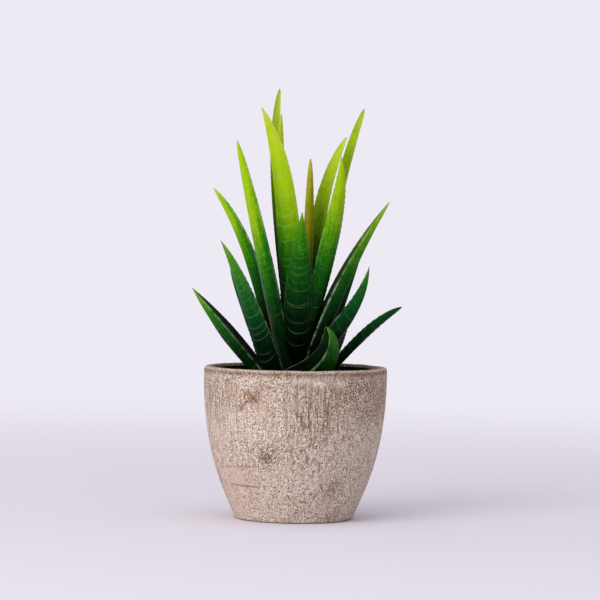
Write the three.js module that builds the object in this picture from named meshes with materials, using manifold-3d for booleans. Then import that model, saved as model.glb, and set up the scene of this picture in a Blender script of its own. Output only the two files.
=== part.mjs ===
// Potted succulent: a rosette of thick tapering leaves growing out of dark soil in a pulp pot.
// Millimetres, +Z up. The origin is the centre of the pot's flat underside, which rests on a
// surface, and -Y is the side that shows the broad front leaves.

import * as THREE from 'three';
import { mergeVertices } from 'three/addons/utils/BufferGeometryUtils.js';
import Module from 'manifold-3d';

const wasm = await Module();
wasm.setup();

// ---- driving dimensions, mm and degrees ----------------------------------------------------

const GAP = 0.3; // clearance kept where one piece is cut to fit its neighbour

const POT = {
  rimRadius: 40, // outer radius of the straight band below the rim
  bandHeight: 62, // the band starts here, and the side curves in below it
  height: 66.5,
  taper: 14.6, // how much smaller the radius is at the base
  taperPower: 2.23, // how late the side starts to curve in, going down
  wall: 5,
  floor: 6,
  rimRound: 1.2,
  baseRound: 1.5,
  segments: 40,
};

const SOIL = { edgeHeight: 60.6, crownHeight: 62, steps: 3 };

const STEM = { bottom: 34, top: 58.5, topRadius: 6.5, bottomRadius: 2.5, segments: 12 };

const ROSETTE = { x: 0.5, y: 0 }; // where the rosette's axis stands on the pot's

const SPINE_STEPS = 48; // short straight steps that add up to a leaf's spine
const LEAF_STATIONS = 12; // cross-sections between a leaf's root and its tip
const TIP_HALF_WIDTH = 0.35;
const MARGIN_THICKNESS = 0.1; // of the half-width
const OUTER_POINTS = 7;
const INNER_POINTS = 3;

// What a leaf has unless its own row says otherwise.
const LEAF_DEFAULTS = {
  rootHeight: 58,
  late: 1, // power of the length at which the lean goes from its first to its last value
  bow: 0, // extra lean at half the length, fading to none at both ends
  turnLate: 1, // the same power for the azimuth
  baseShare: 0.7, // width at the root, as a share of the widest
  widestAt: 0.5, // share of the length at which the leaf is widest
  taper: 1.4, // power of the narrowing beyond there: 1 is a straight-sided point
  tipPower: 0.7, // power of the width that is left there: below 1 the tip is blunter
  depth: 0.8, // how far the back stands out, as a share of the half-width
  channel: 0.25, // how deep the inner face is hollowed, as a share of the half-width
  keel: 1.8, // power of the back's section: 2 is round, 1 is a sharp keel
};

// The leaves, from the heart of the rosette outwards. root is [azimuth, radius] about the
// rosette's axis, azimuth and lean are [at the root, at the tip], lean is measured from
// upright, and face is the azimuth that the leaf's back looks towards.
const LEAVES = [
  { name: 'leaf_heart_yellow', root: [80, 2], azimuth: [170, 170], lean: [6, -3], late: 4,
    length: 119, width: 5, face: [300, 300], baseShare: 0.4, taper: 3, tipPower: 0.6,
    depth: 0.5, color: 0xb9c928 },
  { name: 'leaf_heart_broad', root: [261, 3], azimuth: [190, 190], lean: [3, 27], late: 4,
    length: 122.5, width: 10.5, face: [250, 260], baseShare: 0.4, widestAt: 0.4, taper: 2.5,
    tipPower: 0.8, depth: 0.5, color: 0x86b81c },
  { name: 'leaf_heart_tallest', root: [107, 2.7], azimuth: [170, 170], lean: [7, -9.5],
    late: 4, length: 130, width: 4.4, face: [110, 110], baseShare: 0.4, taper: 4,
    tipPower: 0.5, color: 0x7cae1e },
  { name: 'leaf_heart_amber', root: [300, 3], azimuth: [0, 0], lean: [3.7, 0], length: 99,
    width: 4.8, face: [280, 280], baseShare: 0.6, widestAt: 0.45, taper: 2.2, tipPower: 0.5,
    depth: 0.5, color: 0x8a7d10 },
  { name: 'leaf_right_broad', root: [262, 4], azimuth: [330, 330], lean: [14.5, -8], late: 8,
    length: 102.5, width: 10, face: [310, 310], baseShare: 0.4, widestAt: 0.6, taper: 1.9,
    tipPower: 0.8, depth: 0.5, color: 0x6fae1a },
  { name: 'leaf_back_right', root: [35, 3], azimuth: [30, 30], lean: [4.3, 34], late: 3.5,
    length: 112, width: 8, face: [60, 60], baseShare: 0.5, taper: 1.9, tipPower: 0.6,
    depth: 0.6, color: 0x5f9a1c },
  { name: 'leaf_back_right_tall', root: [80, 6], azimuth: [30, 30], lean: [12, 24.5], late: 4,
    length: 126, width: 6.5, face: [40, 40], baseShare: 0.6, taper: 3, tipPower: 0.5,
    color: 0x74a924 },
  { name: 'leaf_left_tall', root: [231, 4.8], azimuth: [205, 205], lean: [12, 16],
    length: 109.5, width: 9.5, face: [220, 220], widestAt: 0.4, taper: 1.7, tipPower: 0.6,
    color: 0x58a026 },
  { name: 'leaf_front_centre', root: [255, 4], azimuth: [278, 278], lean: [13, 13],
    length: 77.7, width: 12.2, face: [270, 270], baseShare: 0.35, tipPower: 0.9, depth: 0.55,
    color: 0x1f7a2c },
  { name: 'leaf_back_centre', root: [85, 5], azimuth: [85, 85], lean: [22, 32], length: 76,
    width: 9, face: [85, 85], color: 0x3f8f28 },
  { name: 'leaf_right_channelled', root: [285, 2.5], azimuth: [348, 348], lean: [13, 39],
    length: 90.5, width: 12, face: [4, 4], baseShare: 0.9, widestAt: 0.45, taper: 1.2,
    tipPower: 0.75, depth: 1, color: 0x3f7d22 },
  { name: 'leaf_left_mid', root: [155, 6], azimuth: [165, 165], lean: [13, 42], late: 2.5,
    length: 93, width: 10, face: [200, 200], widestAt: 0.4, taper: 2, tipPower: 0.65,
    depth: 0.75, color: 0x4c8a1e },
  { name: 'leaf_right_second', root: [35, 8], azimuth: [18, 18], lean: [17, 25], length: 62,
    width: 7, face: [0, 0], baseShare: 0.8, taper: 1.3, color: 0x274f1c },
  { name: 'leaf_back_left', root: [120, 7], azimuth: [110, 110], lean: [36, 34], length: 62,
    rootHeight: 57, width: 10, face: [110, 110], color: 0x357f28 },
  { name: 'leaf_front_left', root: [225, 10.5], azimuth: [225, 225], lean: [27, 42], late: 5,
    length: 73.7, rootHeight: 57, width: 11, face: [235, 235], baseShare: 0.9, widestAt: 0.3,
    taper: 1.4, tipPower: 0.8, depth: 0.6, color: 0x1d6e2c },
  { name: 'leaf_left_second', root: [204, 6.7], azimuth: [195, 195], lean: [26, 24], length: 57,
    rootHeight: 57, width: 8, face: [200, 200], baseShare: 0.8, taper: 1.3, color: 0x1c4a1c },
  { name: 'leaf_front_right_curled', root: [241, 15], azimuth: [335, 370], turnLate: 0.7,
    lean: [66, -22], late: 2.2, length: 34.5, rootHeight: 60.5, width: 14.5, face: [-4, 25],
    baseShare: 0.8, taper: 1.6, tipPower: 0.8, depth: 1.3, color: 0x2f8a2c },
  { name: 'leaf_far_left_low', root: [180, 7.4], azimuth: [180, 180], lean: [39, 46],
    late: 2, length: 58.7, rootHeight: 56, width: 11.6, face: [173, 173], baseShare: 0.8,
    taper: 1.6, tipPower: 0.9, depth: 0.95, color: 0x2c7d22 },
  { name: 'leaf_right_low', root: [280, 2], azimuth: [355, 355], lean: [22, 10], bow: 21,
    length: 63, rootHeight: 56, width: 10.5, face: [325, 325], baseShare: 0.8, widestAt: 0.45,
    taper: 1.7, tipPower: 0.9, depth: 0.7, color: 0x14582c },
  { name: 'leaf_far_right_low', root: [3, 6.8], azimuth: [0, 0], lean: [41, 63], late: 3,
    length: 54, rootHeight: 56, width: 6.5, face: [330, 330], baseShare: 0.8, taper: 2.4,
    depth: 0.5, color: 0x16401c },
  { name: 'leaf_back_low_left', root: [140, 9], azimuth: [114, 114], lean: [50, 42],
    length: 48, rootHeight: 56, width: 10, face: [114, 114], color: 0x1f6626 },
  { name: 'leaf_back_low_right', root: [45, 8], azimuth: [60, 60], lean: [50, 42], length: 48,
    rootHeight: 56, width: 10, face: [60, 60], color: 0x1f6626 },
  { name: 'leaf_back_low_centre', root: [92, 9], azimuth: [92, 92], lean: [56, 46],
    length: 42, rootHeight: 56, width: 10, face: [92, 92], color: 0x1f6626 },
];

// ---- helpers -------------------------------------------------------------------------------

const radians = THREE.MathUtils.degToRad;
const lerp = THREE.MathUtils.lerp;

function material(color, roughness) {
  return new THREE.MeshStandardMaterial({ color, roughness, metalness: 0 });
}

function namedMesh(name, geometry, surface) {
  const mesh = new THREE.Mesh(geometry, surface);
  mesh.name = name;
  return mesh;
}

function toSolid(geometry) {
  const bare = geometry.clone();
  bare.deleteAttribute('normal');
  bare.deleteAttribute('uv');
  const merged = mergeVertices(bare);
  return new wasm.Manifold(new wasm.Mesh({
    numProp: 3,
    vertProperties: new Float32Array(merged.attributes.position.array),
    triVerts: new Uint32Array(merged.index.array),
  }));
}

function toGeometry(solid) {
  const mesh = solid.getMesh();
  const geometry = new THREE.BufferGeometry();
  geometry.setAttribute('position', new THREE.BufferAttribute(mesh.vertProperties, 3));
  geometry.setIndex(new THREE.BufferAttribute(mesh.triVerts, 1));
  return geometry;
}

// The solid without what the others take up, as one body: crumbs that a cut leaves are dropped.
function cutClear(solid, others) {
  const left = others.reduce((rest, other) => rest.subtract(other), solid);
  const bodies = left.decompose().sort((a, b) => b.volume() - a.volume());
  return bodies[0];
}

// A lathe about +Z from [radius, height] pairs that start and end on the axis.
function turned(profile, segments) {
  const points = profile.map(([radius, height]) => new THREE.Vector2(radius, height));
  return new THREE.LatheGeometry(points, segments).rotateX(Math.PI / 2);
}

// A quarter of a circle as [radius, height] pairs, from one angle to the other in degrees.
function corner(radius, height, size, from, to, steps = 3) {
  return Array.from({ length: steps + 1 }, (_, i) => {
    const angle = radians(lerp(from, to, i / steps));
    return [radius + size * Math.cos(angle), height + size * Math.sin(angle)];
  });
}

// ---- pot, soil and stem --------------------------------------------------------------------

// The pot's outer radius: straight at the band, curving in more and more towards the base.
function potRadius(height) {
  const below = Math.max(0, POT.bandHeight - height) / POT.bandHeight;
  return POT.rimRadius - POT.taper * below ** POT.taperPower;
}

// [radius, height] pairs down or up the side, the given distance in from the pot's outside.
function sidePoints(from, to, inset, steps) {
  return Array.from({ length: steps + 1 }, (_, i) => {
    const height = lerp(from, to, i / steps);
    return [potRadius(height) - inset, height];
  });
}

function makePot() {
  const { baseRound, rimRound, wall, floor, height, bandHeight, rimRadius } = POT;
  const profile = [
    [0, 0],
    ...corner(potRadius(baseRound) - baseRound, baseRound, baseRound, -90, -20, 1),
    ...sidePoints(baseRound + 5, bandHeight, 0, 6),
    ...corner(rimRadius - rimRound, height - rimRound, rimRound, 0, 90, 2),
    ...corner(rimRadius - wall + rimRound, height - rimRound, rimRound, 90, 180, 2),
    ...sidePoints(bandHeight - 6, floor + 4, wall, 4),
    [potRadius(floor) - wall - 4, floor],
    [0, floor],
  ];
  return turned(profile, POT.segments);
}

function makeSoil() {
  const { edgeHeight, crownHeight, steps } = SOIL;
  const inset = POT.wall + GAP;
  const edgeRadius = potRadius(edgeHeight) - inset;
  const dome = Array.from({ length: steps }, (_, i) => {
    const share = i / steps;
    return [edgeRadius * (1 - share), lerp(edgeHeight, crownHeight, Math.sin(share * Math.PI / 2))];
  });
  const profile = [
    [0, POT.floor + GAP],
    [potRadius(POT.floor) - inset - 4, POT.floor + GAP],
    ...sidePoints(POT.floor + 4 + GAP, POT.bandHeight - 6, inset + GAP, 4),
    ...dome,
    [0, crownHeight],
  ];
  return turned(profile, POT.segments);
}

function makeStem() {
  const { bottom, top, topRadius, bottomRadius, segments } = STEM;
  const shoulder = top - 3;
  const profile = [
    [0, bottom], [bottomRadius, bottom], [topRadius, shoulder], [topRadius - 2, top], [0, top],
  ];
  return turned(profile, segments);
}

// ---- leaves --------------------------------------------------------------------------------

// The half-width at a share of the length: it swells from the root to the widest place on a
// quarter of a sine wave, and narrows beyond it as one minus a power of the way to the tip,
// raised to a power that blunts the tip.
function leafHalfWidth(leaf, share) {
  const { width, baseShare, widestAt, taper, tipPower } = leaf;
  const swell = Math.sin(Math.min(share / widestAt, 1) * Math.PI / 2);
  const beyond = Math.max(0, (share - widestAt) / (1 - widestAt));
  const half = (width / 2) * lerp(baseShare, 1, swell) * (1 - beyond ** taper) ** tipPower;
  return Math.max(half, TIP_HALF_WIDTH);
}

// The direction in which the leaf grows at a share of its length.
function leafDirection(leaf, share) {
  const arch = leaf.bow * Math.sin(share * Math.PI);
  const lean = radians(lerp(...leaf.lean, share ** leaf.late) + arch);
  const azimuth = radians(lerp(...leaf.azimuth, share ** leaf.turnLate));
  return new THREE.Vector3(
    Math.sin(lean) * Math.cos(azimuth),
    Math.sin(lean) * Math.sin(azimuth),
    Math.cos(lean),
  );
}

function leafRoot(leaf) {
  const [azimuth, radius] = leaf.root;
  const angle = radians(azimuth);
  return new THREE.Vector3(
    ROSETTE.x + radius * Math.cos(angle),
    ROSETTE.y + radius * Math.sin(angle),
    leaf.rootHeight,
  );
}

// The leaf's stations: its centre, its direction, the way its back looks and its side.
function leafStations(leaf) {
  const stations = [];
  const centre = leafRoot(leaf);
  const stepsEach = SPINE_STEPS / LEAF_STATIONS;
  for (let step = 0; step <= SPINE_STEPS; step += 1) {
    const share = step / SPINE_STEPS;
    if (step % stepsEach === 0) {
      const along = leafDirection(leaf, share);
      const facing = radians(lerp(...leaf.face, share));
      const out = new THREE.Vector3(Math.cos(facing), Math.sin(facing), 0);
      out.addScaledVector(along, -out.dot(along)).normalize();
      const side = new THREE.Vector3().crossVectors(along, out);
      stations.push({ share, centre: centre.clone(), along, out, side });
    }
    const middle = leafDirection(leaf, share + 0.5 / SPINE_STEPS);
    centre.addScaledVector(middle, leaf.length / SPINE_STEPS);
  }
  return stations;
}

// The section as [across, outwards] pairs: along the rounded back from one margin to the
// other, then home along the hollowed inner face. Grow makes it larger all round.
function leafSection(leaf, half, grow) {
  const back = Array.from({ length: OUTER_POINTS }, (_, i) => {
    const across = Math.sin(radians(lerp(-90, 90, i / (OUTER_POINTS - 1))));
    const depth = leaf.depth * half * (1 - Math.abs(across) ** leaf.keel);
    return [across * (half + grow), depth + grow];
  });
  const inner = Array.from({ length: INNER_POINTS }, (_, i) => {
    const across = Math.sin(radians(lerp(90, -90, i / (INNER_POINTS - 1))));
    const hollow = leaf.channel * half * (1 - across ** 2) - MARGIN_THICKNESS * half;
    return [across * (half + grow), hollow - grow];
  });
  return [...back, ...inner];
}

// The triangles that close one end of the leaf, over the section's own corner numbers.
function capTriangles(section) {
  const corners = section.map(([across, outwards]) => new THREE.Vector2(across, outwards));
  return THREE.ShapeUtils.triangulateShape(corners, []).map((triangle) => {
    const clockwise = THREE.ShapeUtils.area(triangle.map((i) => corners[i])) < 0;
    return clockwise ? triangle : [triangle[0], triangle[2], triangle[1]];
  });
}

function makeLeaf(leaf, grow = 0) {
  const stations = leafStations(leaf);
  stations.at(0).centre.addScaledVector(stations.at(0).along, -grow);
  stations.at(-1).centre.addScaledVector(stations.at(-1).along, grow);
  const rings = stations.map((at) => leafSection(leaf, leafHalfWidth(leaf, at.share), grow)
    .map(([across, outwards]) => at.centre.clone()
      .addScaledVector(at.side, across).addScaledVector(at.out, outwards)));
  const corners = rings[0].length;
  const index = [];
  for (let ring = 0; ring < rings.length - 1; ring += 1) {
    for (let i = 0; i < corners; i += 1) {
      const near = ring * corners + i;
      const next = ring * corners + (i + 1) % corners;
      index.push(near, next, next + corners, near, next + corners, near + corners);
    }
  }
  const cap = capTriangles(leafSection(leaf, 1, grow));
  const lastRing = (rings.length - 1) * corners;
  cap.forEach(([a, b, c]) => index.push(c, b, a, lastRing + a, lastRing + b, lastRing + c));
  const geometry = new THREE.BufferGeometry();
  geometry.setFromPoints(rings.flat());
  geometry.setIndex(index);
  return geometry;
}

// ---- the whole plant -----------------------------------------------------------------------

function potWithPlant() {
  const group = new THREE.Group();
  const grown = []; // each leaf made larger by the gap, for cutting the pieces around it
  for (const row of LEAVES) {
    const leaf = { ...LEAF_DEFAULTS, ...row };
    const solid = cutClear(toSolid(makeLeaf(leaf)), grown);
    grown.push(toSolid(makeLeaf(leaf, GAP)));
    group.add(namedMesh(leaf.name, toGeometry(solid), material(leaf.color, 0.4)));
  }
  const stem = cutClear(toSolid(makeStem()), grown);
  const soil = cutClear(toSolid(makeSoil()), [...grown, toSolid(makeStem())]);
  group.add(namedMesh('stem', toGeometry(stem), material(0x3a3a20, 0.8)));
  group.add(namedMesh('soil', toGeometry(soil), material(0x1e1410, 0.95)));
  group.add(namedMesh('pot', makePot(), material(0xb09e92, 0.9)));
  return group;
}

export default potWithPlant();
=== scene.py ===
"""Potted succulent: thick tapering leaves in a rosette, in dark soil, in a moulded pulp pot.

Metres, +Z up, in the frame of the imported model. Sizes are fields in millimetres and degrees,
and MM turns them into metres where a mesh is made. Every surface is a grid worked out with
numpy: rows go along a profile or a leaf, and columns go round it.
"""

import itertools
import logging
import math
from dataclasses import dataclass, field
from enum import Enum
from functools import partial
from typing import ClassVar

import bpy
import numpy as np
from mathutils import Matrix, Vector


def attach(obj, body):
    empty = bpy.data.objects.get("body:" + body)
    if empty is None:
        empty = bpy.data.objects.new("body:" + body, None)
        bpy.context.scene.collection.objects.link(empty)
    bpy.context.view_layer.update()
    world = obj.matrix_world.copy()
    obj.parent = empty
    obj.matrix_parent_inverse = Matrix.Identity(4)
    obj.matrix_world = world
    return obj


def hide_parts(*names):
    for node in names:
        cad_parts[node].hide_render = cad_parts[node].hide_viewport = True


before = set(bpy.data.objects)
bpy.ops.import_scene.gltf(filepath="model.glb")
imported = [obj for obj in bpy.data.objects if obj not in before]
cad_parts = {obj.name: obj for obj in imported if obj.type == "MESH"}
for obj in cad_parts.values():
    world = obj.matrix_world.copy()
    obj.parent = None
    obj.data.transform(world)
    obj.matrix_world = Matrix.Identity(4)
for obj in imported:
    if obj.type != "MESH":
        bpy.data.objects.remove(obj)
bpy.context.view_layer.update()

MM = 0.001
BODY = "root"

# Odd whole numbers that mix a lattice corner and a seed into a random number.
MIX_AXES = (374761393, 668265263, 987643)
MIX_SEED = 40503
MIX_AGAIN = 1274126177
LOW_BITS = 0xFFFF  # what is kept of it

Array = np.ndarray
Colour = tuple[float, float, float, float]
Socket = bpy.types.NodeSocket

log = logging.getLogger("potted_succulent")


# ---- colours and numbers ---------------------------------------------------------------------


def paint(code: str) -> Colour:
    """Turns a six-figure colour code, as mixed on a screen, into linear light.

    Args:
        code: Two hexadecimal figures each for red, green and blue.

    Returns:
        Red, green, blue and an opacity of 1.
    """
    shown = np.array([int(code[i : i + 2], 16) for i in (0, 2, 4)]) / 255
    linear = np.where(shown <= 0.04045, shown / 12.92, ((shown + 0.055) / 1.055) ** 2.4)
    return (*linear.tolist(), 1.0)


def smooth(low: float, high: float, value: Array) -> Array:
    """Rises from 0 at low to 1 at high along 3t² - 2t³, and works for a falling edge too."""
    t = np.clip((value - low) / (high - low), 0, 1)
    return t * t * (3 - 2 * t)


def bump(distance: Array, width: float | Array) -> Array:
    """A bell of height 1: e to the power of minus the square of distance over width."""
    return np.exp(-((distance / width) ** 2))


def lattice_noise(points: Array, cell: float, seed: int) -> Array:
    """Smooth random values between -1 and 1.

    Each corner of a cubic lattice holds a random value, worked out from its three whole
    numbers, and inside a cell the eight corners are blended by 3t² - 2t³ along each axis.

    Args:
        points: Places, with the three coordinates last.
        cell: Edge of a lattice cell, in the unit of the points.
        seed: Chooses another set of random values.

    Returns:
        One value for each place.
    """
    at = points / cell
    corner = np.floor(at).astype(np.int64)
    t = at - corner
    t = t * t * (3 - 2 * t)
    total = np.zeros(points.shape[:-1])
    for step in itertools.product((0, 1), repeat=3):
        weight = np.prod(np.where(np.array(step) == 1, t, 1 - t), axis=-1)
        whole = corner + np.array(step)
        mixed = sum(whole[..., k] * MIX_AXES[k] for k in range(3)) + seed * MIX_SEED
        mixed = (mixed ^ (mixed >> 13)) * MIX_AGAIN
        total += weight * (((mixed ^ (mixed >> 16)) & LOW_BITS) / (LOW_BITS / 2) - 1)
    return total


def layered_noise(points: Array, cell: float, seed: int, layers: int = 3) -> Array:
    """Lattice noise with finer layers on it, each with half the cell and half the height."""
    return sum(
        lattice_noise(points, cell / 2**k, seed + 17 * k) / 2**k for k in range(layers)
    )


# ---- surfaces --------------------------------------------------------------------------------


def full_turn(columns: int) -> Array:
    """Even angles once round, in radians, as one row."""
    return np.radians(np.linspace(0, 360, columns, endpoint=False))[None]


def turned(radius: Array, height: Array, angle: Array) -> Array:
    """Points about the pot's axis. Angle 0 is at the front, and angles grow to the right."""
    return np.stack(np.broadcast_arrays(
        radius * np.sin(angle), -radius * np.cos(angle), height + 0 * angle), -1)


def angle_from(middle: float, turn: Array) -> Array:
    """The angle in radians from a middle to a turn, both in degrees, the short way round."""
    return (np.radians(turn - middle) + math.pi) % (2 * math.pi) - math.pi


@dataclass
class Skin:
    """A closed surface with its face corners, and the named values that its finish reads."""

    points: Array
    quads: Array
    triangles: Array
    values: dict[str, Array] = field(default_factory=dict)

    @classmethod
    def wrap(cls, rings: Array, poles: tuple[Array, Array], values: dict[str, Array]) -> "Skin":
        """Closes a stack of rings, with a fan of triangles to a pole at each end.

        A face runs from a corner to the next one round the ring and then to the next ring,
        so round the ring crossed with along the stack points outwards.

        Args:
            rings: Points, by ring, place in the ring and coordinate.
            poles: The points before the first ring and after the last.
            values: Named values, by ring and place in the ring, with or without a last axis.

        Returns:
            The closed surface.
        """
        count, around = rings.shape[:2]
        near = np.arange((count - 1) * around).reshape(count - 1, around)
        after = np.roll(near, -1, axis=1)
        quads = np.stack([near, after, after + around, near + around], -1).reshape(-1, 4)
        first, second = np.arange(around), np.roll(np.arange(around), -1)
        start, end = count * around, count * around + 1
        last = (count - 1) * around
        fans = np.concatenate([
            np.stack([second, first, np.full(around, start)], -1),
            np.stack([first + last, second + last, np.full(around, end)], -1),
        ])
        points = np.concatenate([rings.reshape(-1, 3), np.array(poles).reshape(2, 3)])
        closed = {}
        for name, grid in values.items():
            ends = np.stack([grid[0].mean(axis=0), grid[-1].mean(axis=0)])
            closed[name] = np.concatenate([grid.reshape(-1, *grid.shape[2:]), ends])
        return cls(points, quads, fans, closed)

    @classmethod
    def merged(cls, skins: list["Skin"]) -> "Skin":
        """Puts several closed surfaces with the same named values side by side in one."""
        offsets = np.cumsum([0] + [len(skin.points) for skin in skins[:-1]])
        return cls(
            np.concatenate([skin.points for skin in skins]),
            np.concatenate([skin.quads + at for skin, at in zip(skins, offsets)]),
            np.concatenate([skin.triangles + at for skin, at in zip(skins, offsets)]),
            {k: np.concatenate([skin.values[k] for skin in skins]) for k in skins[0].values},
        )

    def make(self, name: str, finish: bpy.types.Material) -> bpy.types.Object:
        """Makes the Blender object, at the origin, in metres.

        Args:
            name: The piece's name.
            finish: Its material.

        Returns:
            The smooth-shaded object.
        """
        mesh = bpy.data.meshes.new(name)
        corners = np.concatenate([self.quads.ravel(), self.triangles.ravel()])
        starts = np.concatenate([
            np.arange(len(self.quads)) * 4,
            len(self.quads) * 4 + np.arange(len(self.triangles)) * 3,
        ])
        mesh.vertices.add(len(self.points))
        mesh.loops.add(len(corners))
        mesh.polygons.add(len(starts))
        mesh.vertices.foreach_set("co", (self.points * MM).astype(np.float32).ravel())
        mesh.loops.foreach_set("vertex_index", corners.astype(np.int32))
        mesh.polygons.foreach_set("loop_start", starts.astype(np.int32))
        mesh.polygons.foreach_set("use_smooth", np.ones(len(starts), dtype=bool))
        mesh.update(calc_edges=True)
        mesh.validate()
        for key, value in self.values.items():
            kind, slot = ("FLOAT_VECTOR", "vector") if value.ndim == 2 else ("FLOAT", "value")
            attribute = mesh.attributes.new(key, kind, "POINT")
            attribute.data.foreach_set(slot, value.astype(np.float32).ravel())
        mesh.materials.append(finish)
        piece = bpy.data.objects.new(name, mesh)
        bpy.context.scene.collection.objects.link(piece)
        return piece


def outward(rings: Array) -> Array:
    """The unit normals of a stack of rings: round the ring crossed with along the stack."""
    around = np.roll(rings, -1, axis=1) - np.roll(rings, 1, axis=1)
    normal = np.cross(around, np.gradient(rings, axis=0))
    return normal / np.maximum(np.linalg.norm(normal, axis=-1, keepdims=True), 1e-9)


def seat(piece: bpy.types.Object, slot: str, *nodes: str) -> bpy.types.Object:
    """Lets a piece ride on the object's one body, and stand for the named nodes.

    Args:
        piece: The finished piece.
        slot: The record's material slot that matches its finish; it is only logged.
        *nodes: The nodes that it stands for, if any.

    Returns:
        The same piece.
    """
    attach(piece, BODY)
    if nodes:
        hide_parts(*nodes)
    log.info("%s: %d faces, slot %s", piece.name, len(piece.data.polygons), slot)
    return piece


# ---- finishes --------------------------------------------------------------------------------


class NodeBench:
    """Adds shader nodes to one tree and joins them, so that a finish reads as a recipe."""

    def __init__(self, tree: bpy.types.NodeTree) -> None:
        """Keeps the tree to work on."""
        self.tree = tree

    def add(self, kind: str, **settings: object) -> bpy.types.Node:
        """Adds a node of a kind and gives it its settings."""
        node = self.tree.nodes.new(kind)
        for name, value in settings.items():
            setattr(node, name, value)
        return node

    def feed(self, socket: Socket, value: object) -> None:
        """Joins a socket to another one, or sets its own value."""
        if isinstance(value, bpy.types.NodeSocket):
            self.tree.links.new(value, socket)
        else:
            socket.default_value = value

    def maths(self, operation: str, *terms: object, clamp: bool = False) -> Socket:
        """The result of a Math node on one to three terms."""
        node = self.add("ShaderNodeMath", operation=operation, use_clamp=clamp)
        for socket, term in zip(node.inputs, terms):
            self.feed(socket, term)
        return node.outputs[0]

    def times(self, first: object, second: object, clamp: bool = False) -> Socket:
        """The product of two values."""
        return self.maths("MULTIPLY", first, second, clamp=clamp)

    def blend(self, share: object, first: object, second: object) -> Socket:
        """The colour between two colours at a share."""
        node = self.add("ShaderNodeMix", data_type="RGBA")
        for place, value in ((0, share), (6, first), (7, second)):
            self.feed(node.inputs[place], value)
        return node.outputs[2]

    def overlaid(self, skin: Socket, *layers: tuple[Socket, str]) -> Socket:
        """A skin with colour codes laid over it in turn, each where its mask is."""
        for mask, code in layers:
            skin = self.blend(mask, skin, paint(code))
        return skin

    def window(self, value: object, low: float, high: float, top: float = 1.0) -> Socket:
        """Rises smoothly from 0 to top while the value goes from low to high."""
        node = self.add("ShaderNodeMapRange", interpolation_type="SMOOTHSTEP")
        for name, given in (("Value", value), ("From Min", low), ("From Max", high)):
            self.feed(node.inputs[name], given)
        node.inputs["To Max"].default_value = top
        return node.outputs["Result"]

    def noise(self, place: Socket, scale: object, detail: float, rough: float = 0.5) -> Socket:
        """Fractal noise between 0 and 1, about 0.5, at a scale of so many cells a unit."""
        node = self.add("ShaderNodeTexNoise")
        for name, given in (
            ("Vector", place), ("Scale", scale), ("Detail", detail), ("Roughness", rough),
        ):
            self.feed(node.inputs[name], given)
        return node.outputs["Fac"]

    def ramp(self, share: Socket, stops: tuple[tuple[float, str], ...]) -> Socket:
        """The colour at a share of a ramp given as shares and colour codes."""
        node = self.add("ShaderNodeValToRGB")
        elements = node.color_ramp.elements
        elements[0].position, elements[0].color = stops[0][0], paint(stops[0][1])
        elements[1].position, elements[1].color = stops[-1][0], paint(stops[-1][1])
        for position, code in stops[1:-1]:
            elements.new(position).color = paint(code)
        self.feed(node.inputs["Fac"], share)
        return node.outputs["Color"]

    def carried(self, name: str, output: str = "Fac") -> Socket:
        """A value that the piece's own surface carries."""
        return self.add("ShaderNodeAttribute", attribute_name=name).outputs[output]

    def position(self) -> Socket:
        """The place on the piece, in metres from its origin."""
        return self.add("ShaderNodeTexCoord").outputs["Object"]

    def stretched(self, place: Socket, scale: tuple[float, float, float]) -> Socket:
        """A place scaled by so much along each axis."""
        node = self.add("ShaderNodeMapping")
        self.feed(node.inputs["Vector"], place)
        node.inputs["Scale"].default_value = scale
        return node.outputs["Vector"]


class SharedEffect:
    """An effect that several finishes use: a node group that is built once, then placed."""

    name: str = ""
    takes: dict[str, tuple[str, object]] = {}
    gives: tuple[str, ...] = ()

    def recipe(self, bench: NodeBench, given: dict[str, Socket]) -> dict[str, Socket]:
        """Builds the effect's nodes and returns its outputs by name."""
        raise NotImplementedError

    def tree(self) -> bpy.types.NodeTree:
        """The node group, made on first use."""
        if self.name in bpy.data.node_groups:
            return bpy.data.node_groups[self.name]
        tree = bpy.data.node_groups.new(self.name, "ShaderNodeTree")
        for name, (kind, value) in self.takes.items():
            socket = tree.interface.new_socket(name, in_out="INPUT", socket_type=kind)
            if value is not None:
                socket.default_value = value
        for name in self.gives:
            tree.interface.new_socket(name, in_out="OUTPUT", socket_type="NodeSocketFloat")
        bench = NodeBench(tree)
        entry, way_out = bench.add("NodeGroupInput"), bench.add("NodeGroupOutput")
        given = {name: entry.outputs[name] for name in self.takes}
        for name, socket in self.recipe(bench, given).items():
            bench.feed(way_out.inputs[name], socket)
        return tree

    def place(self, bench: NodeBench, **values: object) -> dict[str, Socket]:
        """Places the group in a finish with its own values.

        Args:
            bench: The finish's bench.
            **values: Sockets or numbers for the group's inputs.

        Returns:
            The group's outputs by name.
        """
        node = bench.add("ShaderNodeGroup", node_tree=self.tree())
        for name, value in values.items():
            bench.feed(node.inputs[name], value)
        return {name: node.outputs[name] for name in self.gives}


class Flecks(SharedEffect):
    """Salt-and-pepper flecks, upright streaks and wide blotches of a pressed fibre surface."""

    name = "pressed_fibre_flecks"
    takes = {
        "Place": ("NodeSocketVector", None),
        "Fineness": ("NodeSocketFloat", 1900.0),
        "Blotches": ("NodeSocketFloat", 90.0),
    }
    gives = ("Fleck", "Streak", "Blotch", "Grit")

    def recipe(self, bench: NodeBench, given: dict[str, Socket]) -> dict[str, Socket]:
        """Flecks are fine noise, streaks are noise drawn out along Z, blotches are wide noise."""
        upright = bench.stretched(given["Place"], (1.0, 1.0, 0.07))
        half = bench.times(given["Fineness"], 0.55)
        return {
            "Fleck": bench.noise(given["Place"], given["Fineness"], 2.0, 0.7),
            "Streak": bench.noise(upright, half, 2.0, 0.6),
            "Blotch": bench.noise(given["Place"], given["Blotches"], 4.0, 0.6),
            "Grit": bench.noise(given["Place"], half, 3.0, 0.7),
        }


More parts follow.
